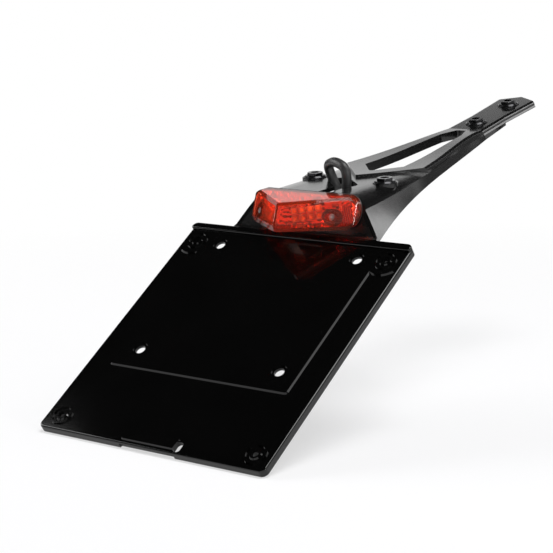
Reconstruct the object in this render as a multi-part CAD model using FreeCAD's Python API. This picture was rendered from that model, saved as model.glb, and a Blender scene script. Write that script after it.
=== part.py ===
import FreeCAD, Part
import math
import os

Vector = FreeCAD.Vector

# Rear plate holder with tail light for a motorcycle, in millimetres.
# The origin is midway between the two tongue holes, on the tongue's top face.
# X points to the right seen from behind, Y forward to the tongue's tip, Z up.

# Tongue and its holes
tongue_hole_pitch = 53.0
mount_hole_d = 6.6
tongue_half = 16.0
tongue_thickness = 4.6
tip_half = 18.4
tip_corner = 38.5
tip_reach = 50.0

# Arm: distances behind the origin where its cross-section is set
skirt_front = -9.0
waist_back = 45.0
middle_back = 100.0
wing_back = 160.0
seat_back = 209.0
mouth_back = 272.0

# Arm: half widths at the top edge
waist_half = 16.8
middle_half = 24.2
wing_half = 35.5
seat_half = 42.0
mouth_half = 48.0

# Arm: how far the skirt's foot stands outside the top edge
tongue_flare = 0.8
waist_flare = 2.0
middle_flare = 3.6
wing_flare = 3.8
seat_flare = 7.5
mouth_flare = 14.5

# Arm: depth from the top to the foot of the skirt
tongue_depth = 6.6
waist_depth = 7.5
middle_depth = 9.5
wing_depth = 10.4
seat_depth = 16.0
mouth_depth = 31.4

# Arm: rounding of the top edge, and the knee where the skirt starts to flare
front_round = 3.0
rear_round = 3.5
front_knee = 4.2
rear_knee = 11.0
knee_out = 0.8

# Arm: rise of the top line, walls and inner bosses
middle_rise_deg = 3.4
rear_rise_deg = 7.6
rear_rise_start = 165.0
arm_wall = 3.0
boss_d = 15.0
seat_d = 19.0
seat_height = 4.0
rib_thickness = 2.2
rib_pitch = 18.0

# Slot through the arm, an arrow with its point to the rear
slot_point_back = 183.0
slot_wide_back = 163.0
slot_wide_half = 17.0
slot_narrow_back = 66.0
slot_narrow_half = 9.3
slot_end_back = 50.0
slot_end_half = 4.0
slot_round = 1.5
slot_rim = 2.6
slot_rim_depth = 7.0

# Rear pads, one step below the spine, with crowned outer margins
pad_step = 2.2
pad_point_back = 201.0
pad_slope = 0.87
pad_flat_half = 22.0
pad_crown_r = 55.0
shoulder_hole_pitch = 60.6

# Opening for the lead, right of the middle line
lead_gap = 10.0
lead_gap_x = 9.0
lead_gap_back = 227.0
lead_window = 16.6
lead_window_run = 38.0
lead_window_deg = 137.0

# Mouth of the arm, a sloping plane that the lamp closes
mouth_top_back = 257.0
mouth_top_z = 18.0
mouth_lean_deg = 27.0

# Plate carrier
plate_width = 187.0
plate_height = 203.0
plate_tilt_deg = 22.0
plate_top_back = 275.5
plate_top_drop = 8.2
plate_corner_r = 4.2
plate_web = 3.0
plate_rim = 3.0
plate_depth = 5.0
field_half = 73.3
field_foot = 61.9
field_rise = 1.0
field_slope = 0.9
field_corner_r = 13.0
plate_edge_round = 1.2
lip_band = 6.0
lip_rise = 2.6
corner_hole_half = 80.3
corner_hole_low = 12.1
corner_hole_high = 185.9
corner_ring_d = 16.0
corner_ring_wall = 1.4
corner_ring_rise = 0.8
grommet_neck_d = 8.0
grommet_flange_d = 9.6
grommet_flange = 0.8
plate_hole_d = 5.0
inner_hole_half = 58.3
inner_hole_low = 77.8
inner_hole_high = 184.0
inner_hole_d = 7.0
inner_ring_d = 11.0
inner_recess = 0.6
inner_web = 1.8
label_half = 21.5
label_low = 3.3
label_high = 11.2
label_rise = 1.0
label_slope = 0.6
notch_half = 22.5
notch_depth = 1.4
drain_width = 5.4
drain_low = 1.6
drain_length = 8.2

# Foot of the arm under the carrier, and its screws
foot_half = 45.5
foot_reach = 54.0
foot_thickness = 4.0
foot_front = 20.0
foot_corner_r = 6.0
foot_step = 4.0
carrier_screw_half = 38.0
carrier_screw_low = 163.0
carrier_screw_high = 190.0
carrier_screw_d = 4.0
carrier_head_d = 8.0
carrier_head_height = 2.6
drive_share = 0.6
carrier_washer_d = 10.0
carrier_washer_thickness = 1.0
insert_d = 6.6
insert_length = 4.4

# Lamp: the lens is an arrowhead with a bevelled rim, leaning faces and an undercut foot
lens_wall = 2.4
lens_point_back = 296.5
lens_point_z = 22.0
lens_point_lean = 0.57
lens_v_slope = 0.82
lens_half = 45.5
lens_end_r = 12.0
lens_end_slope = 0.14
lens_ends_back = 263.0
lens_top_slope = 0.098
lens_rim = 2.0
lens_rim_lean = 1.4
lens_foot_back = 274.0
lens_foot_z = -1.7
lens_foot_slope = 0.184
lens_crease = 4.5
lens_under_lean = 0.366
lens_point_r = 2.5
gasket_thickness = 1.0
gasket_width = 3.0
reflector_gap = 2.6
reflector_wall = 3.2
board_thickness = 1.6
board_length = 20.4
board_height = 9.6
led_rows = 2
led_columns = 4
led_pitch_x = 5.5
led_pitch_y = 5.4
led_field_along = 19.4
led_field_down = 9.0
led_size = 2.8
led_height = 1.4
cup_size = 5.1
cup_floor = 3.6
reflector_base = 1.4
hook_reach = 4.0
window_length = 34.0
window_width = 8.0
window_back = 284.0
window_corner_r = 2.0

# Lamp housing, its screws and lead
housing_wall = 2.6
housing_depth = 13.0
lens_screw_x = 30.2
lens_screw_back = 277.6
lens_screw_z = 8.1
lens_screw_d = 3.0
lens_screw_head_d = 4.6
lens_screw_head = 2.4
lens_screw_length = 17.0
lens_screw_sunk = 0.3
well_d = 5.4
well_wall = 3.2
fixing_half = 46.0
fixing_ahead = 15.0
fixing_d = 3.5
fixing_head_d = 7.0
fixing_head = 2.4
fixing_depth = 5.0
lead_d = 7.0
grommet_d = 12.4
grommet_lip = 1.2
grommet_length = 3.8
lead_exit_down = 11.6
lead_straight = 5.1
lead_plug_run = 10.4
lead_plug_x = -9.0
plug_back = 193.0
plug_width = 14.0
plug_length = 16.0
plug_height = 8.0
plug_corner_r = 1.5
plug_latch = 1.2
plug_room = 0.8

# Flanged nuts on the four mounting holes
nut_across = 11.0
nut_height = 3.6
nut_flange_d = 17.5
nut_flange = 1.6
nut_bore_d = 6.4

# Clearance between pieces that fit together, and room around a screw in its hole
fit = 0.3
screw_room = 0.25

far = 400.0


def rounded_wire(corners, radius, z=0.0):
    """Closed outline at height z with every corner rounded."""
    bends = []
    count = len(corners)
    radii = radius if isinstance(radius, list) else [radius] * count
    for i in range(count):
        here = Vector(corners[i][0], corners[i][1], z)
        before = Vector(corners[i - 1][0], corners[i - 1][1], z) - here
        after = Vector(corners[(i + 1) % count][0], corners[(i + 1) % count][1], z) - here
        before.normalize()
        after.normalize()
        half_angle = before.getAngle(after) / 2
        inward = before + after
        inward.normalize()
        reach = radii[i] / math.tan(half_angle)
        sag = radii[i] / math.sin(half_angle) - radii[i]
        bends.append((here + before * reach, here + inward * sag, here + after * reach))
    edges = []
    for i in range(count):
        edges.append(Part.Arc(*bends[i]).toShape())
        edges.append(Part.LineSegment(bends[i][2], bends[(i + 1) % count][0]).toShape())
    return Part.Wire(edges)


def prism(corners, radius, low, high):
    """Upright block over a rounded outline."""
    return Part.Face(rounded_wire(corners, radius, low)).extrude(Vector(0, 0, high - low))


def rectangle(half_x, low_y, high_y):
    return [(-half_x, low_y), (half_x, low_y), (half_x, high_y), (-half_x, high_y)]


def rod(diameter, length, base, direction):
    return Part.makeCylinder(diameter / 2, length, base, direction)


def tube(outer, inner, length, base, direction):
    return rod(outer, length, base, direction).cut(rod(inner, length, base, direction))


def above(origin, tilt_deg):
    """Everything above a plane through origin that rises forward by tilt_deg."""
    block = Part.makeBox(2 * far, 2 * far, far, Vector(-far, -far, 0))
    block.rotate(Vector(0, 0, 0), Vector(1, 0, 0), tilt_deg)
    block.translate(origin)
    return block


def mirrored(shape):
    return shape.mirror(Vector(0, 0, 0), Vector(1, 0, 0))


def pair(shape):
    """The shape and its mirror image across the middle plane."""
    return Part.makeCompound([shape, mirrored(shape)])


# Plate frame: origin at the middle of the carrier's lower edge, z out of its face
plate_lean = math.radians(plate_tilt_deg)
plate_origin = Vector(
    0,
    -plate_top_back - plate_height * math.cos(plate_lean),
    -plate_top_drop - plate_height * math.sin(plate_lean),
)
plate_place = FreeCAD.Placement(plate_origin, FreeCAD.Rotation(Vector(1, 0, 0), plate_tilt_deg))


def on_plate(shape):
    """Moves a shape built flat into the carrier's place."""
    placed = shape.copy()
    placed.Placement = plate_place
    return placed


# Mouth frame: the lamp's base plane, leaning so that its foot is further back
mouth_lean = math.radians(mouth_lean_deg)
mouth_origin = Vector(0, -mouth_top_back, mouth_top_z)
mouth_out = Vector(0, -math.cos(mouth_lean), math.sin(mouth_lean))


mouth_down = Vector(0, -math.sin(mouth_lean), -math.cos(mouth_lean))
lead_exit = mouth_origin + Vector(lead_gap_x, 0, 0) + mouth_down * lead_exit_down


def behind_mouth(offset):
    """Everything on the rear side of the mouth plane, moved out by offset."""
    return above(mouth_origin + mouth_out * offset, 90 - mouth_lean_deg)


def top_z(back):
    """Height of the arm's top line at a distance behind the origin."""
    middle_run = min(max(back - waist_back, 0), rear_rise_start - waist_back)
    rear_run = max(back - rear_rise_start, 0)
    middle_rise = middle_run * math.tan(math.radians(middle_rise_deg))
    return middle_rise + rear_run * math.tan(math.radians(rear_rise_deg))


def arm_section(back, half, flare, depth, edge_round, knee, inset, roof):
    """Cross-section of the arm: flat top, rounded edges, short upright wall and flared skirts."""
    top = top_z(back) - roof
    side = half - inset
    bend = max(edge_round - inset, 0.6)
    knee_z = top_z(back) - knee - inset / 2
    knee_x = side + knee_out
    foot_x = side + flare
    foot_z = top_z(back) - depth
    if inset > 0:
        run_past = 2.0
        foot_x += run_past * (flare - knee_out) / (depth - knee)
        foot_z -= run_past
    y = -back

    def point(x, z):
        return Vector(x, y, z)

    def line(a, b):
        return Part.LineSegment(a, b).toShape()

    lean = bend * (1 - math.sqrt(0.5))
    right_arc = Part.Arc(point(side - bend, top), point(side - lean, top - lean), point(side, top - bend))
    left_arc = Part.Arc(point(-side, top - bend), point(lean - side, top - lean), point(bend - side, top))
    return Part.Wire([
        line(point(bend - side, top), point(side - bend, top)),
        right_arc.toShape(),
        line(point(side, top - bend), point(knee_x, knee_z)),
        line(point(knee_x, knee_z), point(foot_x, foot_z)),
        line(point(foot_x, foot_z), point(-foot_x, foot_z)),
        line(point(-foot_x, foot_z), point(-knee_x, knee_z)),
        line(point(-knee_x, knee_z), point(-side, top - bend)),
        left_arc.toShape(),
    ])


def arm_body(inset):
    """Solid arm behind the skirt's front, drawn in by inset on every side but the open underside."""
    thick_roof = inset + pad_step if inset > 0 else 0
    front = -skirt_front + inset
    seat_round = (front_round + rear_round) / 2
    seat_knee = (front_knee + rear_knee) / 2

    def thin(back, half, flare, depth, roof):
        return arm_section(back, half, flare, depth, front_round, front_knee, inset, roof)

    waist = thin(waist_back, waist_half, waist_flare, waist_depth, inset)
    tongue = Part.makeLoft([thin(front, tongue_half, tongue_flare, tongue_depth, inset), waist], True, True)
    sections = [
        waist,
        thin(middle_back, middle_half, middle_flare, middle_depth, inset),
        thin(wing_back, wing_half, wing_flare, wing_depth, thick_roof),
        arm_section(seat_back, seat_half, seat_flare, seat_depth, seat_round, seat_knee, inset, thick_roof),
        arm_section(mouth_back, mouth_half, mouth_flare, mouth_depth, rear_round, rear_knee, inset,
                    thick_roof),
    ]
    return tongue.fuse(Part.makeLoft(sections, True, False))


def slot_outline(grow):
    """Arrow-shaped slot, grown outwards for its rim."""
    corners = [
        (0, -slot_point_back - 1.4 * grow),
        (slot_wide_half + grow, -slot_wide_back - 0.4 * grow),
        (slot_narrow_half + grow, -slot_narrow_back),
        (slot_end_half + grow, -slot_end_back + grow),
        (-slot_end_half - grow, -slot_end_back + grow),
        (-slot_narrow_half - grow, -slot_narrow_back),
        (-slot_wide_half - grow, -slot_wide_back - 0.4 * grow),
    ]
    return prism(corners, slot_round, -far / 4, far / 4)


def tongue_tip():
    """Flat pointed end of the tongue."""
    lean = tongue_flare / (tongue_depth - front_knee)
    end_flare = knee_out + lean * (tongue_thickness - front_knee)
    bar = Part.makeLoft([
        arm_section(-skirt_front, tongue_half, end_flare, tongue_thickness, front_round, front_knee, 0, 0),
        arm_section(-tip_reach, tip_half, end_flare, tongue_thickness, front_round, front_knee, 0, 0),
    ], True, True)
    wide = 2 * tip_half
    back_from_point = (wide - tip_half) * (tip_reach - tip_corner) / tip_half
    point = [
        (-wide, skirt_front - wide),
        (wide, skirt_front - wide),
        (wide, tip_corner - back_from_point),
        (0, tip_reach),
        (-wide, tip_corner - back_from_point),
    ]
    return bar.common(prism(point, 0.4, -far / 4, far / 4))


def pad_cutter(drop):
    """Space above the rear pads: a V in plan, flat in the middle and falling to the sides."""
    reach = 2 * mouth_half
    point_back = pad_point_back - drop
    outline = prism([
        (0, -point_back),
        (reach, -point_back + reach / pad_slope),
        (reach, -far),
        (-reach, -far),
        (-reach, -point_back + reach / pad_slope),
    ], 1.0, -far / 4, far / 4)
    side = pad_flat_half + pad_crown_r * math.sin(math.radians(40))
    side_drop = pad_crown_r * (1 - math.cos(math.radians(40)))
    bend = pad_flat_half + pad_crown_r * math.sin(math.radians(20))
    bend_drop = pad_crown_r * (1 - math.cos(math.radians(20)))
    base = Vector(0, -rear_rise_start, top_z(rear_rise_start) - pad_step - drop)

    def point(x, z):
        return base + Vector(x, 0, z)

    profile = Part.Wire([
        Part.LineSegment(point(-pad_flat_half, 0), point(pad_flat_half, 0)).toShape(),
        Part.Arc(point(pad_flat_half, 0), point(bend, -bend_drop), point(side, -side_drop)).toShape(),
        Part.LineSegment(point(side, -side_drop), point(side, far / 4)).toShape(),
        Part.LineSegment(point(side, far / 4), point(-side, far / 4)).toShape(),
        Part.LineSegment(point(-side, far / 4), point(-side, -side_drop)).toShape(),
        Part.Arc(point(-side, -side_drop), point(-bend, -bend_drop), point(-pad_flat_half, 0)).toShape(),
    ])
    rise = math.tan(math.radians(rear_rise_deg))
    ahead = Vector(0, 1, -rise) * (far / 4)
    profile.translate(ahead)
    sweep = Part.Face(profile).extrude(Vector(0, -1, rise) * far)
    return sweep.common(outline)


def pad_point(x, back, lift=0.0):
    """Point on the flat of the rear pads, raised along the pad's normal."""
    tilt = math.radians(rear_rise_deg)
    z = top_z(rear_rise_start) - pad_step + (back - rear_rise_start) * math.tan(tilt)
    return Vector(x, -back, z) + pad_normal * lift


pad_tilt = math.radians(rear_rise_deg)
pad_normal = Vector(0, math.sin(pad_tilt), math.cos(pad_tilt))
tongue_holes = [Vector(0, tongue_hole_pitch / 2, 0), Vector(0, -tongue_hole_pitch / 2, 0)]
shoulder_hole = pad_point(shoulder_hole_pitch / 2, seat_back)
shoulder_holes = [shoulder_hole, Vector(-shoulder_hole.x, shoulder_hole.y, shoulder_hole.z)]


def lead_opening(grow):
    """Gap from the mouth to a slanting window, where the lead comes out of the arm."""
    half = lead_gap / 2 + grow
    window_half = lead_window / 2 + grow
    gap = prism([
        (lead_gap_x - half, -far),
        (lead_gap_x + half, -far),
        (lead_gap_x + half, -lead_gap_back + half),
        (lead_gap_x - half, -lead_gap_back + half),
    ], 1.0, -far / 4, far / 4)
    window = prism(rectangle(window_half, -window_half, lead_window_run - lead_window + window_half),
                   window_half - 0.5, -far / 4, far / 4)
    window.rotate(Vector(0, 0, 0), Vector(0, 0, 1), lead_window_deg - 90)
    window.translate(Vector(lead_gap_x, -lead_gap_back, 0))
    return gap.fuse(window)


foot_floor = -plate_depth + foot_step


def foot_slab():
    """Foot of the arm that lies under the carrier's upper edge, in the carrier's slope."""
    low = -plate_depth - foot_thickness
    edge = plate_height + fit
    front = plate_height + foot_front
    slab = prism(rectangle(foot_half, plate_height - foot_reach, front), foot_corner_r, low, -plate_depth)
    floor = prism(rectangle(foot_half, edge, front), 1.0, low, foot_floor)
    wide_floor = prism(rectangle(2 * foot_half, edge, front), 1.0, low, foot_floor)
    return on_plate(slab.fuse(floor)).fuse(on_plate(wide_floor).common(arm_body(0)))


def carrier_screw_spots():
    spots = []
    for v in (carrier_screw_low, carrier_screw_high):
        for side in (-1, 1):
            spots.append(Vector(side * carrier_screw_half, v, 0))
    return spots


def fixing_spots():
    v = plate_height + fixing_ahead
    return [Vector(-fixing_half, v, 0), Vector(fixing_half, v, 0)]


def build_tail_arm():
    outer = arm_body(0)
    arm = outer.cut(arm_body(arm_wall).cut(pad_cutter(arm_wall)))
    rim = outer.cut(outer.translated(Vector(0, 0, -slot_rim_depth)))
    arm = arm.fuse(slot_outline(slot_rim).common(rim))
    for hole in (tongue_holes[1],):
        arm = arm.fuse(rod(boss_d, far / 4, hole, Vector(0, 0, -1)).common(outer))
    for hole in shoulder_holes:
        boss = rod(boss_d, seat_depth, hole, pad_normal * -1)
        arm = arm.fuse(boss.common(outer))
    ribs = []
    for i in (0, 1):
        y = -seat_back + rib_pitch * (i - 1.2)
        ribs.append(Part.makeBox(far, rib_thickness, far / 4, Vector(-far / 2, y, -far / 8)))
    gap_room = lead_opening(rib_thickness)
    rib_web = outer.cut(outer.translated(Vector(0, 0, -2 * arm_wall - pad_step)))
    for rib in ribs:
        arm = arm.fuse(rib.common(rib_web).cut(gap_room))
    arm = arm.cut(behind_mouth(0))
    arm = arm.fuse(foot_slab())
    arm = arm.fuse(tongue_tip())
    arm = arm.cut(slot_outline(0)).cut(pad_cutter(0))
    for hole in shoulder_holes:
        arm = arm.fuse(rod(seat_d, seat_height, hole, pad_normal * -1))
    arm = arm.cut(lead_opening(0).common(above(Vector(0, 0, -2), 0)))
    for hole in tongue_holes:
        arm = arm.cut(rod(mount_hole_d, far, hole + Vector(0, 0, far / 2), Vector(0, 0, -1)))
    for hole in shoulder_holes:
        arm = arm.cut(rod(mount_hole_d, far, hole + pad_normal * (far / 2), pad_normal * -1))
    for spot in carrier_screw_spots():
        arm = arm.cut(on_plate(rod(carrier_screw_d + 2 * screw_room, far / 8, spot + Vector(0, 0, -far / 16),
                                   Vector(0, 0, 1))))
    for spot in fixing_spots():
        arm = arm.cut(on_plate(rod(fixing_d + 2 * screw_room, far / 8, spot + Vector(0, 0, -far / 16),
                                   Vector(0, 0, 1))))
    return arm.removeSplitter()


def v_column(apex, tilt_deg, lean, inset, half, end_r):
    """Column with a V plan, stacked on a plane tilted by tilt_deg, its point passing through apex."""
    tilt = math.radians(tilt_deg)
    slope = lens_v_slope / (1 - lens_point_lean * math.tan(tilt)) / math.cos(tilt)
    wires = []
    for z in (-2 * lens_half / 3, 2 * lens_half / 3):
        point = lean * z + inset * math.hypot(1, slope)
        end = point + half * slope
        front = 2 * lens_half
        corners = [(0, point), (half, end), (half, front), (-half, front), (-half, end)]
        point_r = max(lens_point_r - inset, 0.6)
        wires.append(rounded_wire(corners, [point_r, end_r, 1.0, 1.0, end_r], z))
    column = Part.makeLoft(wires, True, True)
    column.rotate(Vector(0, 0, 0), Vector(1, 0, 0), tilt_deg)
    column.translate(apex)
    return column


lens_apex = Vector(0, -lens_point_back, lens_point_z)
lens_top_deg = -math.degrees(math.atan(lens_top_slope))
lens_foot_deg = -math.degrees(math.atan(lens_foot_slope))


def lens_top(back):
    return lens_point_z - (lens_point_back - back) * lens_top_slope


def lens_foot(back):
    return lens_foot_z + (back - lens_foot_back) * lens_foot_slope


def lamp_faces(inset):
    """Column of the two leaning rear faces, rounded into the ends."""
    return v_column(lens_apex, 0, lens_point_lean, inset, lens_half - inset, max(lens_end_r - inset, 1.0))


def lamp_ends(inset):
    """Bar with fully rounded ends that closes the lamp at both sides."""
    middle = (lens_top(lens_ends_back) + lens_foot(lens_ends_back)) / 2
    height = (lens_top(lens_ends_back) - lens_foot(lens_ends_back)) / 2 + fit - inset
    bar = prism(rectangle(lens_half - inset, -height, height), height - fit, -lens_half, 2 * lens_half)
    bar.rotate(Vector(0, 0, 0), Vector(1, 0, 0), 90 - math.degrees(math.atan(lens_end_slope)))
    bar.translate(Vector(0, -lens_ends_back, middle))
    return bar


def lamp_core(inset):
    """Arrowhead of the lamp drawn in by inset, before it is cut off at the mouth plane."""
    down = Vector(0, -lens_point_lean, -1)
    rim_apex = lens_apex + down * lens_rim
    crease_z = lens_foot(lens_point_back + lens_point_lean * lens_point_z) + lens_crease
    crease_z = crease_z / (1 + lens_foot_slope * lens_point_lean)
    crease_apex = lens_apex + down * (lens_point_z - crease_z)
    wide = 2 * lens_half
    core = lamp_faces(inset).common(lamp_ends(inset))
    core = core.common(v_column(rim_apex, lens_top_deg, lens_rim_lean, inset, wide, 1.0))
    core = core.common(v_column(crease_apex, lens_foot_deg, -lens_under_lean, inset, wide, 1.0))
    core = core.cut(above(lens_apex - Vector(0, 0, inset), lens_top_deg))
    return core.common(above(Vector(0, -lens_foot_back, lens_foot_z + inset), lens_foot_deg))


# Facet frame: x along the right rear face of the lens, z out of it
facet_along = Vector(1, lens_v_slope, 0).normalize()
facet_down = Vector(0, -lens_point_lean, -1).normalize()
facet_out = facet_down.cross(facet_along).normalize()
facet_up = facet_out.cross(facet_along)
facet_level = math.hypot(facet_out.x, facet_out.y)
facet_place = FreeCAD.Placement(
    lens_apex + facet_along * led_field_along - facet_up * led_field_down,
    FreeCAD.Rotation(facet_along, facet_up, facet_out, "ZXY"),
)


def on_facet(shape):
    """Moves a shape built flat onto the lens's right rear face."""
    placed = shape.copy()
    placed.Placement = facet_place.multiply(shape.Placement)
    return placed


lens_screw_point = Vector(lens_screw_x, -lens_screw_back, lens_screw_z)
lens_screw_reach = (lens_screw_point - mouth_origin).dot(mouth_out)
lens_screw_base = lens_screw_point - mouth_out * lens_screw_reach
lens_screw_seat = lens_screw_reach - lens_screw_head - lens_screw_sunk
well_outer_d = well_d + 2 * well_wall


def lens_screw_rod(diameter, low, high):
    """Round bar on the right lens screw's axis, between two heights over the mouth plane."""
    return rod(diameter, high - low, lens_screw_base + mouth_out * low, mouth_out)


def window_prism(shrink):
    half = window_length / 2 - shrink
    across = window_width / 2 - shrink
    level = lens_foot(window_back)
    corners = rectangle(half, -window_back - across, -window_back + across)
    return prism(corners, window_corner_r, level - 2 * lens_wall, level + 2 * lens_wall)


def led_spots():
    spots = []
    for row in range(led_rows):
        for column in range(led_columns):
            x = (column - (led_columns - 1) / 2) * led_pitch_x
            y = (row - (led_rows - 1) / 2) * led_pitch_y
            spots.append((x, y))
    return spots


reflector_face = (lens_wall + reflector_gap) * facet_level
reflector_back = (lens_wall + reflector_gap + reflector_wall) * facet_level
board_face = reflector_back + fit


def build_lamp_lens():
    outer = lamp_core(0)
    lens = outer.cut(lamp_core(lens_wall))
    well = lens_screw_rod(well_outer_d, 0, lens_screw_reach + well_d)
    lens = lens.fuse(well.common(outer)).fuse(mirrored(well).common(outer))
    open_well = lens_screw_rod(well_d, lens_screw_seat, lens_screw_reach + 2 * well_d)
    hole = lens_screw_rod(lens_screw_d + 2 * screw_room, -1, lens_screw_seat + 1)
    for tool in (open_well, hole):
        lens = lens.cut(tool).cut(mirrored(tool))
    lens = lens.cut(window_prism(0))
    return lens.common(behind_mouth(gasket_thickness)).removeSplitter()


def build_plate_light_window():
    pane = window_prism(fit).common(lamp_core(0)).cut(lamp_core(lens_wall))
    return pane.common(behind_mouth(gasket_thickness)).removeSplitter()


def build_lamp_gasket():
    ring = lamp_core(0).cut(lamp_core(gasket_width))
    return ring.common(behind_mouth(0)).cut(behind_mouth(gasket_thickness)).removeSplitter()


def led_cup():
    """Square funnel around one diode, wider towards the lens."""
    low = rounded_wire(rectangle(cup_floor / 2, -cup_floor / 2, cup_floor / 2), 0.4, -reflector_back - fit)
    high = rounded_wire(rectangle(cup_size / 2, -cup_size / 2, cup_size / 2), 0.4, -reflector_face + fit)
    return Part.makeLoft([low, high], True, True)


def hook_void():
    """Open corner of the reflector above and outside the right lens screw's post."""
    low = -reflector_base
    high = lens_screw_reach + 2 * well_d
    corner = lens_screw_point - Vector(fit, far / 2, well_d / 2)
    quarter = Part.makeBox(far, far, far, corner)
    void = lens_screw_rod(well_outer_d + 2 * hook_reach, low, high)
    return void.cut(lens_screw_rod(well_outer_d, low, high)).common(quarter)


def build_lamp_reflector():
    outside = lens_wall + reflector_gap
    band = lamp_core(outside).cut(lamp_faces(outside + reflector_wall)).common(behind_mouth(0))
    base = lamp_core(gasket_width + fit).common(behind_mouth(0)).cut(behind_mouth(reflector_base))
    reflector = band.fuse(base)
    for x, y in led_spots():
        cup = on_facet(led_cup().translated(Vector(x, y, 0)))
        reflector = reflector.cut(cup).cut(mirrored(cup))
    clear = lens_screw_rod(well_outer_d + 2 * fit, -1, lens_screw_reach + 2 * well_d)
    for tool in (clear, hook_void()):
        reflector = reflector.cut(tool).cut(mirrored(tool))
    lead_hole = rod(grommet_d, 3 * reflector_base, lead_exit - mouth_out * reflector_base, mouth_out)
    return reflector.cut(lead_hole).removeSplitter()


def build_lamp_circuit_boards():
    board = Part.makeBox(board_length, board_height, board_thickness,
                         Vector(-board_length / 2, -board_height / 2, -board_face - board_thickness))
    return pair(on_facet(board))


def build_lamp_leds():
    leds = []
    for x, y in led_spots():
        base = Part.makeBox(led_size, led_size, led_height / 2,
                            Vector(x - led_size / 2, y - led_size / 2, -board_face))
        dome = Part.makeCone(led_size * 0.42, led_size * 0.25, led_height / 2,
                             Vector(x, y, led_height / 2 - board_face), Vector(0, 0, 1))
        led = on_facet(base.fuse(dome))
        leds.append(led)
        leds.append(mirrored(led))
    return Part.makeCompound(leds)


def build_lamp_lens_screws():
    head = lens_screw_rod(lens_screw_head_d, lens_screw_seat, lens_screw_seat + lens_screw_head)
    shank = lens_screw_rod(lens_screw_d, lens_screw_seat - lens_screw_length, lens_screw_seat)
    drive_d = lens_screw_d * drive_share
    drive = lens_screw_rod(drive_d, lens_screw_seat + lens_screw_head / 2, lens_screw_reach)
    return pair(head.fuse(shank).cut(drive).removeSplitter())


def housing_envelope(inset):
    """Inside of the arm's mouth above its foot, drawn in by inset."""
    shell = arm_body(arm_wall + fit + inset).cut(pad_cutter(arm_wall + fit + inset))
    floor = on_plate(prism(rectangle(far / 2, -far, far), 1.0, foot_floor + inset, far))
    return shell.common(floor)


def build_lamp_housing():
    base = housing_envelope(0).cut(behind_mouth(0)).common(behind_mouth(-housing_depth))
    hollow = housing_envelope(housing_wall).cut(behind_mouth(-housing_wall))
    housing = base.cut(hollow)
    tip = lens_screw_seat - lens_screw_length
    boss = lens_screw_rod(lens_screw_d + 2 * housing_wall, tip - housing_wall, 0)
    housing = housing.fuse(boss.common(base)).fuse(mirrored(boss).common(base))
    up = Vector(0, 0, 1)
    for spot in fixing_spots():
        post = rod(fixing_d + 2 * housing_wall, 2 * fixing_depth, spot + up * foot_floor, up)
        housing = housing.fuse(on_plate(post).common(base))
    hole = lens_screw_rod(lens_screw_d + 2 * screw_room, tip - fit, 1)
    housing = housing.cut(hole).cut(mirrored(hole))
    for spot in fixing_spots():
        bore = rod(fixing_d + 2 * screw_room, fixing_depth + fit, spot + up * foot_floor, up)
        housing = housing.cut(on_plate(bore))
    neck_d = grommet_d - 2 * grommet_lip + 2 * screw_room
    neck = rod(neck_d, 3 * housing_wall, lead_exit + mouth_out * housing_wall, mouth_out * -1)
    gap = lead_opening(0).common(above(lead_exit, 0)).cut(behind_mouth(-housing_wall))
    return housing.cut(neck).cut(gap).removeSplitter()


def build_lead_grommet():
    into = mouth_out * -1
    sleeve = rod(grommet_d - 2 * grommet_lip, grommet_length, lead_exit, into)
    inside = housing_wall + screw_room
    flange = rod(grommet_d, grommet_length - inside, lead_exit + into * inside, into)
    bore = rod(lead_d + 2 * fit, 3 * grommet_length, lead_exit + mouth_out * grommet_length, into)
    return sleeve.fuse(flange).cut(bore).removeSplitter()


plug_along = Vector(0, math.cos(pad_tilt), -math.sin(pad_tilt))
plug_drop = arm_wall + pad_step + plug_room + plug_height / 2
plug_middle = Vector(lead_plug_x, -plug_back, top_z(plug_back)) - pad_normal * plug_drop


def lead_route():
    """Points of the lead: out of the housing, up through the opening, over and back to its plug."""
    return [
        lead_exit,
        lead_exit - mouth_out * lead_straight,
        Vector(9.0, -247.5, 8.7),
        Vector(9.2, -231.5, 5.0),
        Vector(12.2, -229.5, 16.0),
        Vector(12.0, -228.5, 26.5),
        Vector(0.0, -224.0, 29.5),
        Vector(-11.5, -217.5, 24.0),
        Vector(-12.4, -213.5, 14.5),
        plug_middle - plug_along * (plug_length / 2 + lead_plug_run),
        plug_middle - plug_along * (plug_length / 2),
    ]


def build_lamp_lead():
    points = lead_route()
    edges = []
    here = points[0]
    for before, corner, after in zip(points, points[1:], points[2:]):
        back = before - corner
        ahead = after - corner
        run = min(back.Length, ahead.Length)
        back.normalize()
        ahead.normalize()
        half_angle = back.getAngle(ahead) / 2
        cut = 0.45 * run
        radius = cut * math.tan(half_angle)
        print("lead bend radius %.1f" % radius)
        inward = (back + ahead).normalize() * (radius / math.sin(half_angle) - radius)
        start = corner + back * cut
        end = corner + ahead * cut
        edges.append(Part.LineSegment(here, start).toShape())
        edges.append(Part.Arc(start, corner + inward, end).toShape())
        here = end
    edges.append(Part.LineSegment(here, points[-1]).toShape())
    path = Part.Wire(edges)
    ring = Part.Wire([Part.Circle(points[0], points[1] - points[0], lead_d / 2).toShape()])
    lead = path.makePipeShell([ring], True, True)
    expected = path.Length * math.pi * lead_d ** 2 / 4
    print("lead length %.1f, volume ratio %.4f" % (path.Length, lead.Volume / expected))
    return lead


def build_lead_plug():
    half = plug_height / 2
    body = prism(rectangle(plug_width / 2, -plug_length / 2, plug_length / 2), plug_corner_r, -half, half)
    latch_corner = Vector(-plug_width / 6, 0, -half - plug_latch)
    latch = Part.makeBox(plug_width / 3, plug_length / 2, plug_latch, latch_corner)
    body = body.fuse(latch)
    body.rotate(Vector(0, 0, 0), Vector(1, 0, 0), -rear_rise_deg)
    body.translate(plug_middle)
    return body.removeSplitter()


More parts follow.
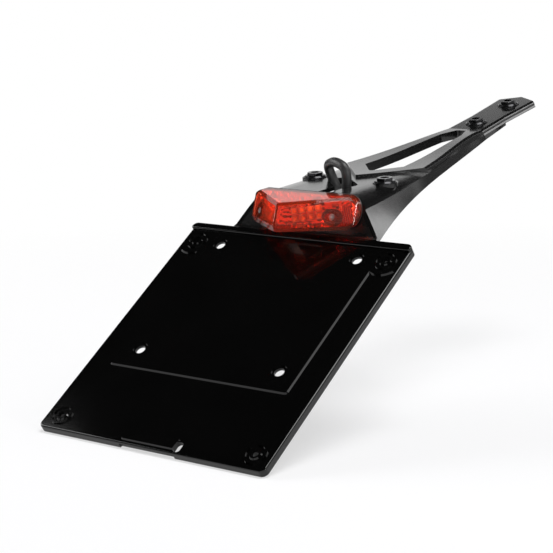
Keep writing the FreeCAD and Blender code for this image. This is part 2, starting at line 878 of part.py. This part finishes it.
def build_lamp_fixing_screws():
    screws = []
    low = -plate_depth - foot_thickness
    for spot in fixing_spots():
        head = rod(fixing_head_d, fixing_head, spot + Vector(0, 0, low - fixing_head), Vector(0, 0, 1))
        shank = rod(fixing_d, foot_floor + fixing_depth - low, spot + Vector(0, 0, low), Vector(0, 0, 1))
        screws.append(on_plate(head.fuse(shank).removeSplitter()))
    return Part.makeCompound(screws)


def raised(half, low, high, radius, slope, rise):
    """Low pad on the carrier's face with sloping edges."""
    foot = rounded_wire(rectangle(half + slope, low - slope, high + slope), radius + slope, 0)
    top = rounded_wire(rectangle(half, low, high), radius, rise)
    return Part.makeLoft([foot, top], True, True)


def corner_spots():
    spots = []
    for v in (corner_hole_low, corner_hole_high):
        for side in (-1, 1):
            spots.append(Vector(side * corner_hole_half, v, 0 if v < field_foot else field_rise))
    return spots


def inner_spots():
    spots = []
    for v in (inner_hole_low, inner_hole_high):
        for side in (-1, 1):
            spots.append(Vector(side * inner_hole_half, v, field_rise))
    return spots


def build_plate_carrier():
    up = Vector(0, 0, 1)
    side = plate_width / 2
    outline = rectangle(side, 0, plate_height)
    base = prism(outline, plate_corner_r, -plate_depth, 0)
    rim_edges = [e for e in base.Edges if min(v.Z for v in e.Vertexes) > -plate_depth / 2]
    carrier = base.makeFillet(plate_edge_round, rim_edges)
    pocket = rectangle(side - plate_rim, plate_rim, plate_height - plate_rim)
    carrier = carrier.cut(prism(pocket, plate_corner_r - plate_rim, -plate_depth, -plate_web))
    whole = prism(outline, plate_corner_r, -plate_depth, far / 8)
    field_top = plate_height - lip_band
    field = raised(field_half, field_foot, field_top, plate_edge_round, field_slope, field_rise)
    carrier = carrier.fuse(field)
    lip = prism(rectangle(side, field_top, plate_height), 2.0, -plate_web, lip_rise).common(whole)
    lip_edges = [e for e in lip.Edges if min(v.Z for v in e.Vertexes) > lip_rise / 2]
    carrier = carrier.fuse(lip.makeFillet(plate_edge_round, lip_edges))
    for spot in carrier_screw_spots():
        carrier = carrier.fuse(rod(insert_d + 4, plate_depth, spot - up * plate_depth, up))
    for spot in corner_spots():
        if spot.z > 0:
            foot = spot - up * spot.z
            disc = Part.makeCone(field_corner_r + field_slope, field_corner_r, field_rise, foot, up)
            carrier = carrier.fuse(disc.common(whole))
        low = spot - up * (plate_depth + spot.z)
        carrier = carrier.fuse(rod(corner_ring_d, plate_depth + spot.z + corner_ring_rise, low, up))
        carrier = carrier.cut(rod(corner_ring_d - 2 * corner_ring_wall, far / 8, spot, up))
        carrier = carrier.cut(rod(grommet_neck_d + 2 * screw_room, far / 4, spot - up * (far / 8), up))
    for spot in inner_spots():
        below = spot - up * (inner_recess + inner_web)
        carrier = carrier.cut(rod(inner_ring_d, far / 8, spot - up * inner_recess, up))
        carrier = carrier.cut(rod(2 * inner_ring_d, far / 8, below, up * -1))
        carrier = carrier.cut(rod(inner_hole_d, far / 4, spot - up * (far / 8), up))
    carrier = carrier.fuse(raised(label_half, label_low, label_high, 1.2, label_slope, label_rise))
    notch = rectangle(notch_half, -notch_depth, notch_depth)
    carrier = carrier.cut(prism(notch, 0.6, -far / 8, -plate_web / 2))
    drain_side = label_half - label_slope
    drain = [
        (drain_side, drain_low),
        (drain_side + drain_width, drain_low),
        (drain_side + drain_width, drain_low + drain_length),
        (drain_side, drain_low + drain_length),
    ]
    carrier = carrier.cut(prism(drain, drain_width / 2 - fit, -far / 8, far / 8))
    for spot in carrier_screw_spots():
        carrier = carrier.cut(rod(insert_d + 2 * screw_room, insert_length, spot - up * plate_depth, up))
    return on_plate(carrier.removeSplitter())


def build_plate_grommets():
    up = Vector(0, 0, 1)
    grommets = []
    for spot in corner_spots():
        flange = Part.makeCone(grommet_flange_d / 2, grommet_flange_d / 2 - 0.8, grommet_flange, spot, up)
        neck = rod(grommet_neck_d, plate_depth + spot.z, spot - up * (plate_depth + spot.z), up)
        bore = rod(plate_hole_d, far / 4, spot - up * (far / 8), up)
        grommets.append(on_plate(flange.fuse(neck).cut(bore).removeSplitter()))
    return Part.makeCompound(grommets)


def build_carrier_inserts():
    up = Vector(0, 0, 1)
    inserts = []
    for spot in carrier_screw_spots():
        insert = tube(insert_d, carrier_screw_d + 2 * screw_room, insert_length, spot - up * plate_depth, up)
        inserts.append(on_plate(insert))
    return Part.makeCompound(inserts)


def build_carrier_washers():
    up = Vector(0, 0, 1)
    low = -plate_depth - foot_thickness - carrier_washer_thickness
    hole_d = carrier_screw_d + 2 * screw_room
    washers = []
    for spot in carrier_screw_spots():
        washer = tube(carrier_washer_d, hole_d, carrier_washer_thickness, spot + up * low, up)
        washers.append(on_plate(washer))
    return Part.makeCompound(washers)


def build_carrier_screws():
    up = Vector(0, 0, 1)
    low = -plate_depth - foot_thickness - carrier_washer_thickness
    length = insert_length - fit - plate_depth - low
    screws = []
    for spot in carrier_screw_spots():
        head = rod(carrier_head_d, carrier_head_height, spot + up * (low - carrier_head_height), up)
        shank = rod(carrier_screw_d, length, spot + up * low, up)
        drive_foot = spot + up * (low - carrier_head_height)
        drive = rod(carrier_screw_d * drive_share, carrier_head_height / 2, drive_foot, up)
        screws.append(on_plate(head.fuse(shank).cut(drive).removeSplitter()))
    return Part.makeCompound(screws)


def flange_nut():
    """Hexagon nut with a flange, standing on z = 0."""
    up = Vector(0, 0, 1)
    corner = nut_across / math.sqrt(3)
    turns = [math.radians(60 * i) for i in range(7)]
    points = [Vector(corner * math.cos(turn), corner * math.sin(turn), 0) for turn in turns]
    hexagon = Part.Face(Part.makePolygon(points)).extrude(up * nut_height)
    chamfer = Part.makeCone(nut_height + nut_across / 2, nut_across / 2, nut_height, Vector(0, 0, 0), up)
    flange = Part.makeCone(nut_flange_d / 2, nut_flange_d / 2 - nut_flange, nut_flange, Vector(0, 0, 0), up)
    skirt = rod(nut_flange_d, nut_flange / 3, Vector(0, 0, 0), up)
    nut = hexagon.common(chamfer).fuse(flange).fuse(skirt)
    return nut.cut(rod(nut_bore_d, 3 * nut_height, Vector(0, 0, -nut_height), up)).removeSplitter()


def nuts_at(spots, normal):
    nuts = []
    for spot in spots:
        nut = flange_nut()
        nut.Placement = FreeCAD.Placement(spot, FreeCAD.Rotation(Vector(0, 0, 1), normal))
        nuts.append(nut)
    return Part.makeCompound(nuts)


def build_front_mount_nuts():
    return nuts_at(tongue_holes, Vector(0, 0, 1))


def build_rear_mount_nuts():
    return nuts_at(shoulder_holes, pad_normal)


pieces = {
    "tail_arm": build_tail_arm,
    "plate_carrier": build_plate_carrier,
    "lamp_housing": build_lamp_housing,
    "lamp_gasket": build_lamp_gasket,
    "lamp_lens": build_lamp_lens,
    "plate_light_window": build_plate_light_window,
    "lamp_reflector": build_lamp_reflector,
    "lamp_circuit_boards": build_lamp_circuit_boards,
    "lamp_leds": build_lamp_leds,
    "lamp_lens_screws": build_lamp_lens_screws,
    "lamp_fixing_screws": build_lamp_fixing_screws,
    "lamp_lead": build_lamp_lead,
    "lead_grommet": build_lead_grommet,
    "lead_plug": build_lead_plug,
    "front_mount_nuts": build_front_mount_nuts,
    "rear_mount_nuts": build_rear_mount_nuts,
    "carrier_screws": build_carrier_screws,
    "carrier_washers": build_carrier_washers,
    "carrier_inserts": build_carrier_inserts,
    "plate_grommets": build_plate_grommets,
}

os.makedirs("parts", exist_ok=True)
for name, build in pieces.items():
    build().exportStep("parts/%s.step" % name)
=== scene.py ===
import math
import bmesh
import bpy
from mathutils import Matrix, Vector
from mathutils.bvhtree import BVHTree
from mathutils.geometry import barycentric_transform


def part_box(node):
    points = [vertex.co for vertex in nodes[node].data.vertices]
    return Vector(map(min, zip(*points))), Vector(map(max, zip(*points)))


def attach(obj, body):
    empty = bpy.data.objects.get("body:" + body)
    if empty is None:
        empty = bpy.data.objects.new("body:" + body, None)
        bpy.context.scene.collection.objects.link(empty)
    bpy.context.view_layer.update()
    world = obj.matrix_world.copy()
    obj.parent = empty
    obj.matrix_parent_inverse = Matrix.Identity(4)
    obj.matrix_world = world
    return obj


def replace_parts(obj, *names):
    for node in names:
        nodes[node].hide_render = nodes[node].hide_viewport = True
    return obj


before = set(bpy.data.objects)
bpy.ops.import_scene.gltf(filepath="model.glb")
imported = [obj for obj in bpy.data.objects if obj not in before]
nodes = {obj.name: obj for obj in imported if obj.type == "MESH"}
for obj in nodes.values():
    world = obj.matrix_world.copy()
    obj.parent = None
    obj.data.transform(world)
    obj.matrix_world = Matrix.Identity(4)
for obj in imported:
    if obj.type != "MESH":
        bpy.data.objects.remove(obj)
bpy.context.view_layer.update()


# Tail arm: the long bracket that carries lamp and plate, held by studs through its tongue
# and shoulders. One moulding in black glass-filled nylon, satin from a spark-eroded tool
# and a little glossier where hands have rubbed it.
class Level:
    """A shader value that takes part in ordinary arithmetic."""

    def __init__(self, finish, socket):
        self.finish = finish
        self.socket = socket

    def with_other(self, operation, first, second):
        node = self.finish.node("ShaderNodeMath", {"operation": operation}, {0: first, 1: second})
        return Level(self.finish, node.outputs["Value"])

    def __add__(self, other):
        return self.with_other("ADD", self, other)

    def __radd__(self, other):
        return self.with_other("ADD", other, self)

    def __mul__(self, other):
        return self.with_other("MULTIPLY", self, other)

    def __rmul__(self, other):
        return self.with_other("MULTIPLY", other, self)


class Finish:
    """A material with one principled surface, and the nodes that vary it."""

    def __init__(self, name):
        self.material = bpy.data.materials.new(name)
        self.material.use_nodes = True
        self.tree = self.material.node_tree
        self.surface = self.tree.nodes["Principled BSDF"]
        self.place = self.node("ShaderNodeTexCoord").outputs["Object"]

    def node(self, kind, settings=None, sockets=None):
        node = self.tree.nodes.new(kind)
        for name, value in (settings or {}).items():
            setattr(node, name, value)
        for name, value in (sockets or {}).items():
            self.feed(node.inputs[name], value)
        return node

    def feed(self, socket, value):
        if isinstance(value, Level):
            self.tree.links.new(value.socket, socket)
        elif isinstance(value, bpy.types.NodeSocket):
            self.tree.links.new(value, socket)
        else:
            socket.default_value = value

    def set(self, **sockets):
        """Sets sockets of the surface, with base_color for Base Color and ior for IOR."""
        for name, value in sockets.items():
            label = name.replace("_", " ").title().replace("Ior", "IOR")
            self.feed(self.surface.inputs[label], value)

    def noise(self, scale, detail=2.0):
        sockets = {"Vector": self.place, "Scale": scale, "Detail": detail}
        return Level(self, self.node("ShaderNodeTexNoise", None, sockets).outputs["Fac"])

    def shade(self, level, dark, light):
        """Colour that runs from dark to light as the level goes from 0 to 1."""
        # A Mix node set to colour takes its two colours on sockets 6 and 7 and gives the third on 2.
        sockets = {0: level, 6: (*dark, 1.0), 7: (*light, 1.0)}
        return self.node("ShaderNodeMix", {"data_type": "RGBA"}, sockets).outputs[2]

    def bump(self, height, depth, strength):
        sockets = {"Height": height, "Distance": depth, "Strength": strength}
        self.set(normal=self.node("ShaderNodeBump", None, sockets).outputs["Normal"])

    def cover(self, *node_names):
        for name in node_names:
            mesh = nodes[name].data
            mesh.materials.clear()
            mesh.materials.append(self.material)


def grey(tone):
    return (tone, tone, tone)


grained = Finish("grained_black_nylon")
grain = grained.noise(scale=900.0, detail=3.0)
wear = grained.noise(scale=38.0)
grained.set(base_color=grained.shade(wear, dark=grey(0.004), light=grey(0.007)))
grained.set(roughness=0.13 + 0.06 * wear + 0.04 * grain)
grained.cover("tail_arm")


# Plate carrier and its grommets: the board that the plate is screwed to, moulded in black
# plastic with a mirror-polished face and hollow below, with a bush of the same gloss in
# each corner. Its upper corner pads fall away to the rounded edge, so its sides run straight.
polished = Finish("polished_black_plastic")
ripple = polished.noise(scale=22.0)
polished.set(base_color=polished.shade(ripple, dark=grey(0.001), light=grey(0.002)))
polished.set(roughness=0.05 + 0.04 * ripple, specular_ior_level=0.4)
polished.bump(ripple, depth=0.0002, strength=0.1)
polished.cover("plate_carrier", "plate_grommets")


def new_piece(name, mesh, finish):
    """Adds a finished mesh to the part as a piece of its own."""
    piece = bpy.data.objects.new(name, mesh)
    mesh.materials.clear()
    mesh.materials.append(finish.material)
    bpy.context.scene.collection.objects.link(piece)
    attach(piece, "root")
    return piece


carrier_tilt = math.radians(22.0)
face_out = Vector((0.0, -math.sin(carrier_tilt), math.cos(carrier_tilt)))
face_up = Vector((0.0, math.cos(carrier_tilt), math.sin(carrier_tilt)))
face_top = Vector((0.0, -0.2755, -0.0082))
edge_round = 0.0012
edge_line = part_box("plate_carrier")[1][0] - edge_round
pad_fall = 0.5
pads_from = 0.0066
pads_to = 0.034
cut_insets = (0.004, 0.002, 0.0)
merge_distance = 1e-6
smallest_face = 1e-12

solid = nodes["plate_carrier"].data
shell = bmesh.new()
shell.from_mesh(solid)
bmesh.ops.remove_doubles(shell, verts=shell.verts, dist=merge_distance)
for inset in cut_insets:
    for side in (-1.0, 1.0):
        everything = [*shell.verts, *shell.edges, *shell.faces]
        cut = (side * (edge_line - inset), 0.0, 0.0)
        bmesh.ops.bisect_plane(shell, geom=everything, plane_co=cut, plane_no=(1.0, 0.0, 0.0))
shell.verts.index_update()
lowered = set()
for vert in shell.verts:
    rise = (vert.co - face_top).dot(face_out)
    from_top = (face_top - vert.co).dot(face_up)
    inside = edge_line - abs(vert.co.x)
    if inside > 0.0:
        limit = pad_fall * inside
    else:
        limit = math.sqrt(max(edge_round ** 2 - inside ** 2, 0.0)) - edge_round
    if rise > limit and pads_from < from_top < pads_to:
        vert.co -= (rise - limit) * face_out
        lowered.add(vert.index)
carrier_mesh = bpy.data.meshes.new("carrier_shell")
shell.to_mesh(carrier_mesh)
shell.free()
carrier_mesh.shade_smooth()

# The shell keeps the normals of the moulding, apart from the pads, which are as plain as the face.
finder = BVHTree.FromPolygons([v.co for v in solid.vertices], [p.vertices for p in solid.polygons])
normals = [face_out] * len(carrier_mesh.loops)
for face in carrier_mesh.polygons:
    _, _, nearest, _ = finder.find_nearest(face.center)
    source = solid.polygons[nearest]
    places = [solid.vertices[i].co for i in source.vertices]
    turns = [solid.corner_normals[i].vector for i in source.loop_indices]
    kept = source.area > smallest_face and lowered.isdisjoint(face.vertices)
    for corner, vertex in zip(face.loop_indices, face.vertices):
        if kept:
            spot = carrier_mesh.vertices[vertex].co
            normals[corner] = barycentric_transform(spot, *places, *turns).normalized()
        elif abs(face.center.x) > edge_line:
            normals[corner] = face.normal.copy()
carrier_mesh.normals_split_custom_set(normals)
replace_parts(new_piece("carrier_shell", carrier_mesh, polished), "plate_carrier")


# Lamp gasket and lead grommet: the seal round the foot of the lens, and the bush where the
# lead leaves the housing. Black rubber, dull from the mould, pinched between its neighbours.
rubber = Finish("dull_black_rubber")
bloom = rubber.noise(scale=420.0)
rubber.set(base_color=rubber.shade(bloom, dark=grey(0.009), light=grey(0.018)))
rubber.set(roughness=0.45 + 0.15 * bloom)
rubber.bump(bloom, depth=0.0001, strength=0.3)
rubber.cover("lamp_gasket", "lead_grommet")


# Lamp housing and lead plug: the base of the lamp, screwed into the mouth of the arm, and
# the plug on the lead's end inside the arm. Black plastic as it comes from the tool.
moulded = Finish("plain_black_plastic")
flow = moulded.noise(scale=90.0)
moulded.set(base_color=moulded.shade(flow, dark=grey(0.003), light=grey(0.005)))
moulded.set(roughness=0.22 + 0.1 * flow)
moulded.cover("lamp_housing", "lead_plug")


# Reflector: the tray behind the lens, with a cup for each emitter. A moulding under a bright
# film of metal, cut in fine facets that scatter the light, held between lens and housing.
mirror = Finish("metallised_reflector")
haze = mirror.noise(scale=160.0)
mirror.set(base_color=mirror.shade(haze, dark=(0.9, 0.88, 0.85), light=(0.97, 0.95, 0.92)))
mirror.set(metallic=1.0, roughness=0.1 + 0.08 * haze)
facets = mirror.node("ShaderNodeTexVoronoi", None, {"Vector": mirror.place, "Scale": 380.0})
mirror.bump(facets.outputs["Distance"], depth=0.0008, strength=0.6)
mirror.cover("lamp_reflector")


# Circuit boards: one behind each facet of the lens, glass laminate under a white solder
# mask, laid in the housing below the reflector.
mask = Finish("white_solder_mask")
weave = mask.noise(scale=600.0)
mask.set(base_color=mask.shade(weave, dark=(0.78, 0.78, 0.75), light=(0.86, 0.86, 0.83)))
mask.set(roughness=0.4 + 0.1 * weave)
mask.cover("lamp_circuit_boards")


# Light-emitting diodes: clear epoxy over a pale yellow phosphor, soldered to the boards so
# that each stands in a cup of the reflector.
epoxy = Finish("pale_yellow_epoxy")
phosphor = epoxy.noise(scale=900.0)
epoxy.set(base_color=epoxy.shade(phosphor, dark=(0.9, 0.62, 0.18), light=(0.98, 0.78, 0.35)))
epoxy.set(roughness=0.15 + 0.1 * phosphor)
epoxy.cover("lamp_leds")


# Lens: the arrowhead cover of the lamp, clear red acrylic, one moulding with its screw wells.
# Most light passes through it, so it throws no shadow on the reflector below.
acrylic = Finish("clear_red_acrylic")
streak = acrylic.noise(scale=60.0)
acrylic.set(base_color=acrylic.shade(streak, dark=(0.85, 0.12, 0.06), light=(0.9, 0.17, 0.08)))
acrylic.set(roughness=0.01 + 0.03 * streak, ior=1.25, transmission_weight=0.94)
acrylic.cover("lamp_lens")
nodes["lamp_lens"].visible_shadow = False


# Flutes: slim ribs moulded down the inside of the lens at both ends, a deeper red where the
# acrylic is thicker, and shorter towards the rounded side. They spread the outer emitters' light.
ribbed = Finish("ribbed_red_acrylic")
shimmer = ribbed.noise(scale=60.0)
ribbed.set(base_color=ribbed.shade(shimmer, dark=(0.3, 0.02, 0.01), light=(0.4, 0.03, 0.015)))
ribbed.set(roughness=0.1 + 0.1 * shimmer, transmission_weight=0.3)


def ribs(name, finish, sizes):
    """Row of upright ribs along x, cut to a half-round outline, from a node tree with named sizes."""
    tree = bpy.data.node_groups.new(name, "GeometryNodeTree")
    tree.interface.new_socket("Geometry", in_out="OUTPUT", socket_type="NodeSocketGeometry")
    keys = {}
    for label, value in sizes.items():
        kind = "NodeSocketInt" if isinstance(value, int) else "NodeSocketFloat"
        keys[label] = tree.interface.new_socket(label, in_out="INPUT", socket_type=kind).identifier
    given = tree.nodes.new("NodeGroupInput").outputs

    def step(kind, sockets, **settings):
        node = tree.nodes.new(kind)
        for key, value in settings.items():
            setattr(node, key, value)
        for key, value in sockets.items():
            if isinstance(value, bpy.types.NodeSocket):
                tree.links.new(value, node.inputs[key])
            else:
                node.inputs[key].default_value = value
        return node.outputs[0]

    def maths(operation, *numbers):
        return step("ShaderNodeMath", dict(enumerate(numbers)), operation=operation)

    place = maths("MULTIPLY", step("GeometryNodeInputIndex", {}), given["Pitch"])
    place = maths("ADD", place, given["First"])
    spot = step("ShaderNodeCombineXYZ", {"X": place})
    row = step("GeometryNodeMeshLine", {"Count": given["Count"]})
    row = step("GeometryNodeSetPosition", {"Geometry": row, "Position": spot})
    share = maths("DIVIDE", place, given["Outline"])
    room = maths("SQRT", maths("SUBTRACT", 1.0, maths("MULTIPLY", share, share)))
    stretch = step("ShaderNodeCombineXYZ", {"X": 1.0, "Y": 1.0, "Z": room})
    rib_sizes = {"Vertices": given["Sides"], "Radius": given["Radius"], "Depth": given["Length"]}
    rib = step("GeometryNodeMeshCylinder", rib_sizes)
    upright = (math.pi / 2, 0.0, 0.0)
    stood = {"Points": row, "Instance": rib, "Rotation": upright, "Scale": stretch}
    row = step("GeometryNodeInstanceOnPoints", stood)
    row = step("GeometryNodeRealizeInstances", {"Geometry": row})
    row = step("GeometryNodeSetMaterial", {"Geometry": row, "Material": finish.material})
    tree.links.new(row, tree.nodes.new("NodeGroupOutput").inputs[0])

    maker = bpy.data.objects.new(name, bpy.data.meshes.new(name))
    bpy.context.scene.collection.objects.link(maker)
    grown = maker.modifiers.new(name, "NODES")
    grown.node_group = tree
    for label, value in sizes.items():
        grown[keys[label]] = value
    evaluated = maker.evaluated_get(bpy.context.evaluated_depsgraph_get())
    made = bpy.data.meshes.new_from_object(evaluated)
    maker.modifiers.remove(grown)
    bpy.data.objects.remove(maker)
    return made


row_sizes = {
    "Count": 6,
    "First": 0.0008,
    "Pitch": 0.0014,
    "Outline": 0.0094,
    "Sides": 10,
    "Radius": 0.00045,
    "Length": 0.0145,
}
lens_tip = Vector((0.0, -0.2965, 0.022))
facet_out = Vector((0.58, -0.708, 0.403)).normalized()
facet_along = Vector((-facet_out.y, facet_out.x, 0.0)).normalized()
facet_upward = facet_out.cross(facet_along)
inner_wall = 0.00275
end_middle_x = 0.0357
end_middle_z = 0.00745
foot = lens_tip - inner_wall * facet_out
foot += (end_middle_z - foot.z) / facet_upward.z * facet_upward
foot += (end_middle_x - foot.x) / facet_along.x * facet_along
flutes = bmesh.new()
for side in (1.0, -1.0):
    flip = Vector((side, 1.0, 1.0))
    axes = (facet_along * flip, side * facet_upward * flip, facet_out * flip)
    row_mesh = ribs("flute_row", ribbed, row_sizes)
    row_mesh.transform(Matrix.Translation(foot * flip) @ Matrix(axes).transposed().to_4x4())
    flutes.from_mesh(row_mesh)
flute_mesh = bpy.data.meshes.new("lens_flutes")
flutes.to_mesh(flute_mesh)
flutes.free()
flute_mesh.shade_smooth()
new_piece("lens_flutes", flute_mesh, ribbed).visible_shadow = False


# Window of the plate light: a clear acrylic strip let into the foot of the lens, through
# which the lamp lights the plate below it.
clear = Finish("clear_acrylic")
frost = clear.noise(scale=300.0)
clear.set(base_color=clear.shade(frost, dark=(0.95, 0.96, 0.97), light=(0.99, 0.99, 0.99)))
clear.set(roughness=0.05 + 0.1 * frost, ior=1.49, transmission_weight=1.0)
clear.cover("plate_light_window")


# Lead: the lamp's two wires in a black braided sleeve. It leaves the housing, loops out of
# the arm's roof and goes back in to its plug.
sleeve = Finish("black_lead_sleeve")
braid = sleeve.noise(scale=1500.0)
sleeve.set(base_color=sleeve.shade(braid, dark=grey(0.016), light=grey(0.034)))
sleeve.set(roughness=0.35 + 0.15 * braid)
sleeve.bump(braid, depth=0.0001, strength=0.3)
sleeve.cover("lamp_lead")


# Flanged nuts and black screws: steel under a black oxide. The nuts clamp the arm to its four
# studs, and the screws hold the carrier and the lamp housing.
blackened = Finish("blackened_steel")
oxide = blackened.noise(scale=520.0)
blackened.set(base_color=blackened.shade(oxide, dark=(0.02, 0.02, 0.021), light=(0.045, 0.045, 0.047)))
blackened.set(metallic=0.85, roughness=0.16 + 0.1 * oxide)
blackened.cover("front_mount_nuts", "rear_mount_nuts", "carrier_screws", "lamp_fixing_screws")


# Lens screws and carrier washers: steel, zinc plated. The screws stand in the wells of the
# lens, and the washers lie under the heads of the carrier screws.
plated = Finish("zinc_plated_steel")
spangle = plated.noise(scale=700.0)
plated.set(base_color=plated.shade(spangle, dark=(0.5, 0.5, 0.51), light=(0.66, 0.66, 0.67)))
plated.set(metallic=1.0, roughness=0.25 + 0.1 * spangle)
plated.cover("lamp_lens_screws", "carrier_washers")


# Threaded inserts: turned in brass and pressed into the carrier from below, where they take
# the carrier screws.
brass = Finish("turned_brass")
turning = brass.noise(scale=800.0)
brass.set(base_color=brass.shade(turning, dark=(0.6, 0.42, 0.16), light=(0.74, 0.55, 0.25)))
brass.set(metallic=1.0, roughness=0.25 + 0.1 * turning)
brass.cover("carrier_inserts")


# Floor and backdrop: a round sheet of white paper that the carrier's lower edge rests on,
# with a wall of the same paper round it. Both are white for the camera and keep the shadow.
floor_normal = Vector((0.0, 0.2232, 0.9748)).normalized()
carrier_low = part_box("plate_carrier")[0]
rest = Vector((0.0, carrier_low[1], carrier_low[2]))
across = Vector((1.0, 0.0, 0.0))
floor_turn = Matrix((across, floor_normal.cross(across), floor_normal)).transposed().to_4x4()
stand = Matrix.Translation(rest) @ floor_turn
span = 6.0
wall_height = 2.9
sides = 48
shadow_middle = (0.1, -0.25, -0.1)
shadow_inner = 0.3
shadow_outer = 1.0


def sheet(name, corners, faces):
    """Sheet of the stage, from corners that are measured on the floor."""
    mesh = bpy.data.meshes.new(name)
    mesh.from_pydata([stand @ Vector(corner) for corner in corners], [], faces)
    placed = bpy.data.objects.new(name, mesh)
    bpy.context.scene.collection.objects.link(placed)
    return placed


def paper(name, near, far_off):
    """White paper that glows for the camera, less so near the part, where its shadow shows."""
    finish = Finish(name)
    finish.set(base_color=(0.93, 0.93, 0.95, 1.0), roughness=0.9)
    path = finish.node("ShaderNodeLightPath").outputs
    seen = Level(finish, path["Is Camera Ray"]) + path["Is Glossy Ray"] + path["Is Transmission Ray"]
    ends = {0: finish.place, 1: shadow_middle}
    offset = finish.node("ShaderNodeVectorMath", {"operation": "DISTANCE"}, ends).outputs["Value"]
    ramp = {
        "Value": offset,
        "From Min": shadow_inner,
        "From Max": shadow_outer,
        "To Min": near,
        "To Max": far_off,
    }
    share = Level(finish, finish.node("ShaderNodeMapRange", None, ramp).outputs["Result"])
    glow = finish.node("ShaderNodeEmission").outputs["Emission"]
    layers = {0: seen * share, 1: finish.surface.outputs["BSDF"], 2: glow}
    blend = finish.node("ShaderNodeMixShader", None, layers).outputs["Shader"]
    finish.feed(finish.tree.nodes["Material Output"].inputs["Surface"], blend)
    return finish.material


turns_round = [math.tau * i / sides for i in range(sides)]
ring = [(span * math.cos(turn), span * math.sin(turn)) for turn in turns_round]
low_ring = [(x, y, 0.0) for x, y in ring]
high_ring = [(x, y, wall_height) for x, y in ring]
floor = sheet("floor", low_ring, [tuple(range(sides))])
floor.data.materials.append(paper("white_floor", near=0.6, far_off=1.0))
wall_faces = [(i, (i + 1) % sides, (i + 1) % sides + sides, i + sides) for i in range(sides)]
backdrop = sheet("backdrop", low_ring + high_ring, wall_faces)
backdrop.data.materials.append(paper("white_screen", near=1.0, far_off=1.0))


# Dark cards: black and grey sheets round the part, out of the picture, that paint its reflections.
# They are seen in its gloss alone, where their painted reflections keep the black faces black.
middle = (0.0, -0.25, 0.0)


def card(name, place, width, height, glow):
    """Card that faces the part, seen only in its gloss, where it paints a reflection."""
    facing = (Vector(place) - Vector(middle)).to_track_quat("Z", "Y").to_matrix().to_4x4()
    turned = stand.inverted() @ Matrix.Translation(place) @ facing
    signs = ((-1, -1), (1, -1), (1, 1), (-1, 1))
    corners = [turned @ Vector((x * width / 2, y * height / 2, 0.0)) for x, y in signs]
    placed = sheet(name, corners, [(0, 1, 2, 3)])
    for ray in ("camera", "diffuse", "transmission", "volume_scatter", "shadow"):
        setattr(placed, "visible_" + ray, False)
    finish = Finish(name + "_painted_reflection")
    finish.set(base_color=(0.0, 0.0, 0.0, 1.0), specular_ior_level=0.0)
    # The card's glow paints a reflection only: it casts no shadow and lights nothing.
    finish.set(emission_color=(*grey(glow), 1.0), emission_strength=1.0)
    placed.data.materials.append(finish.material)


# The front card paints a faint grey reflection, and the others paint black ones.
card("front_card", place=(0.34, 1.37, 0.0), width=0.75, height=0.6, glow=0.15)
card("left_card", place=(-0.97, 0.04, -0.05), width=0.7, height=0.6, glow=0.0)
card("rear_card", place=(-0.6, -1.13, 0.53), width=1.1, height=0.7, glow=0.0)
card("side_card", place=(0.71, 0.54, -0.28), width=0.8, height=0.4, glow=0.0)


# Lamps: a dim white room, one large softbox overhead and one at the left, with small ones
# that draw the light lines on the arm, on the edge of the carrier's field and on the lens.
world = bpy.data.worlds.new("dim_room")
bpy.context.scene.world = world
world.use_nodes = True
room_light = world.node_tree.nodes["Background"].inputs
room_light["Color"].default_value = (1.0, 1.0, 1.0, 1.0)
room_light["Strength"].default_value = 0.012


def softbox(name, place, width, height, power):
    """Rectangular lamp that points at the part's middle."""
    lamp = bpy.data.lights.new(name, "AREA")
    lamp.shape = "RECTANGLE"
    lamp.size = width
    lamp.size_y = height
    lamp.energy = power
    lit = bpy.data.objects.new(name, lamp)
    lit.location = place
    lit.rotation_euler = (Vector(middle) - Vector(place)).to_track_quat("-Z", "Y").to_euler()
    bpy.context.scene.collection.objects.link(lit)


softbox("overhead_lamp", place=(0.9, 0.6, 3.2), width=2.0, height=2.0, power=100.0)
softbox("left_lamp", place=(-1.5, -0.6, 0.9), width=0.8, height=1.0, power=14.0)
softbox("front_lamp", place=(0.76, 1.36, 0.74), width=0.42, height=0.45, power=3.2)
softbox("edge_lamp", place=(1.2, 0.3, 1.35), width=0.6, height=0.6, power=2.4)
softbox("end_lamp", place=(1.45, -0.57, 0.41), width=0.3, height=0.14, power=3.6)


# Camera: stands behind the part, to its right and above it, as the photograph's does. Its
# place and turn were worked out from the four corners of the carrier.
camera = bpy.data.cameras.new("photo_camera")
camera.sensor_width = 36.0
camera.lens = 109.15
camera_place = (0.6767, -1.1514, 0.3605)
right = Vector((0.80196, 0.5823, -0.1333)).normalized()
up = Vector((-0.0986, 0.3491, 0.9318))
up = (up - up.dot(right) * right).normalized()
away = right.cross(up)
viewer = bpy.data.objects.new("photo_camera", camera)
camera_turn = Matrix((right, up, away)).transposed().to_4x4()
viewer.matrix_world = Matrix.Translation(camera_place) @ camera_turn
bpy.context.scene.collection.objects.link(viewer)
bpy.context.scene.camera = viewer
bpy.context.scene.view_settings.view_transform = "Standard"
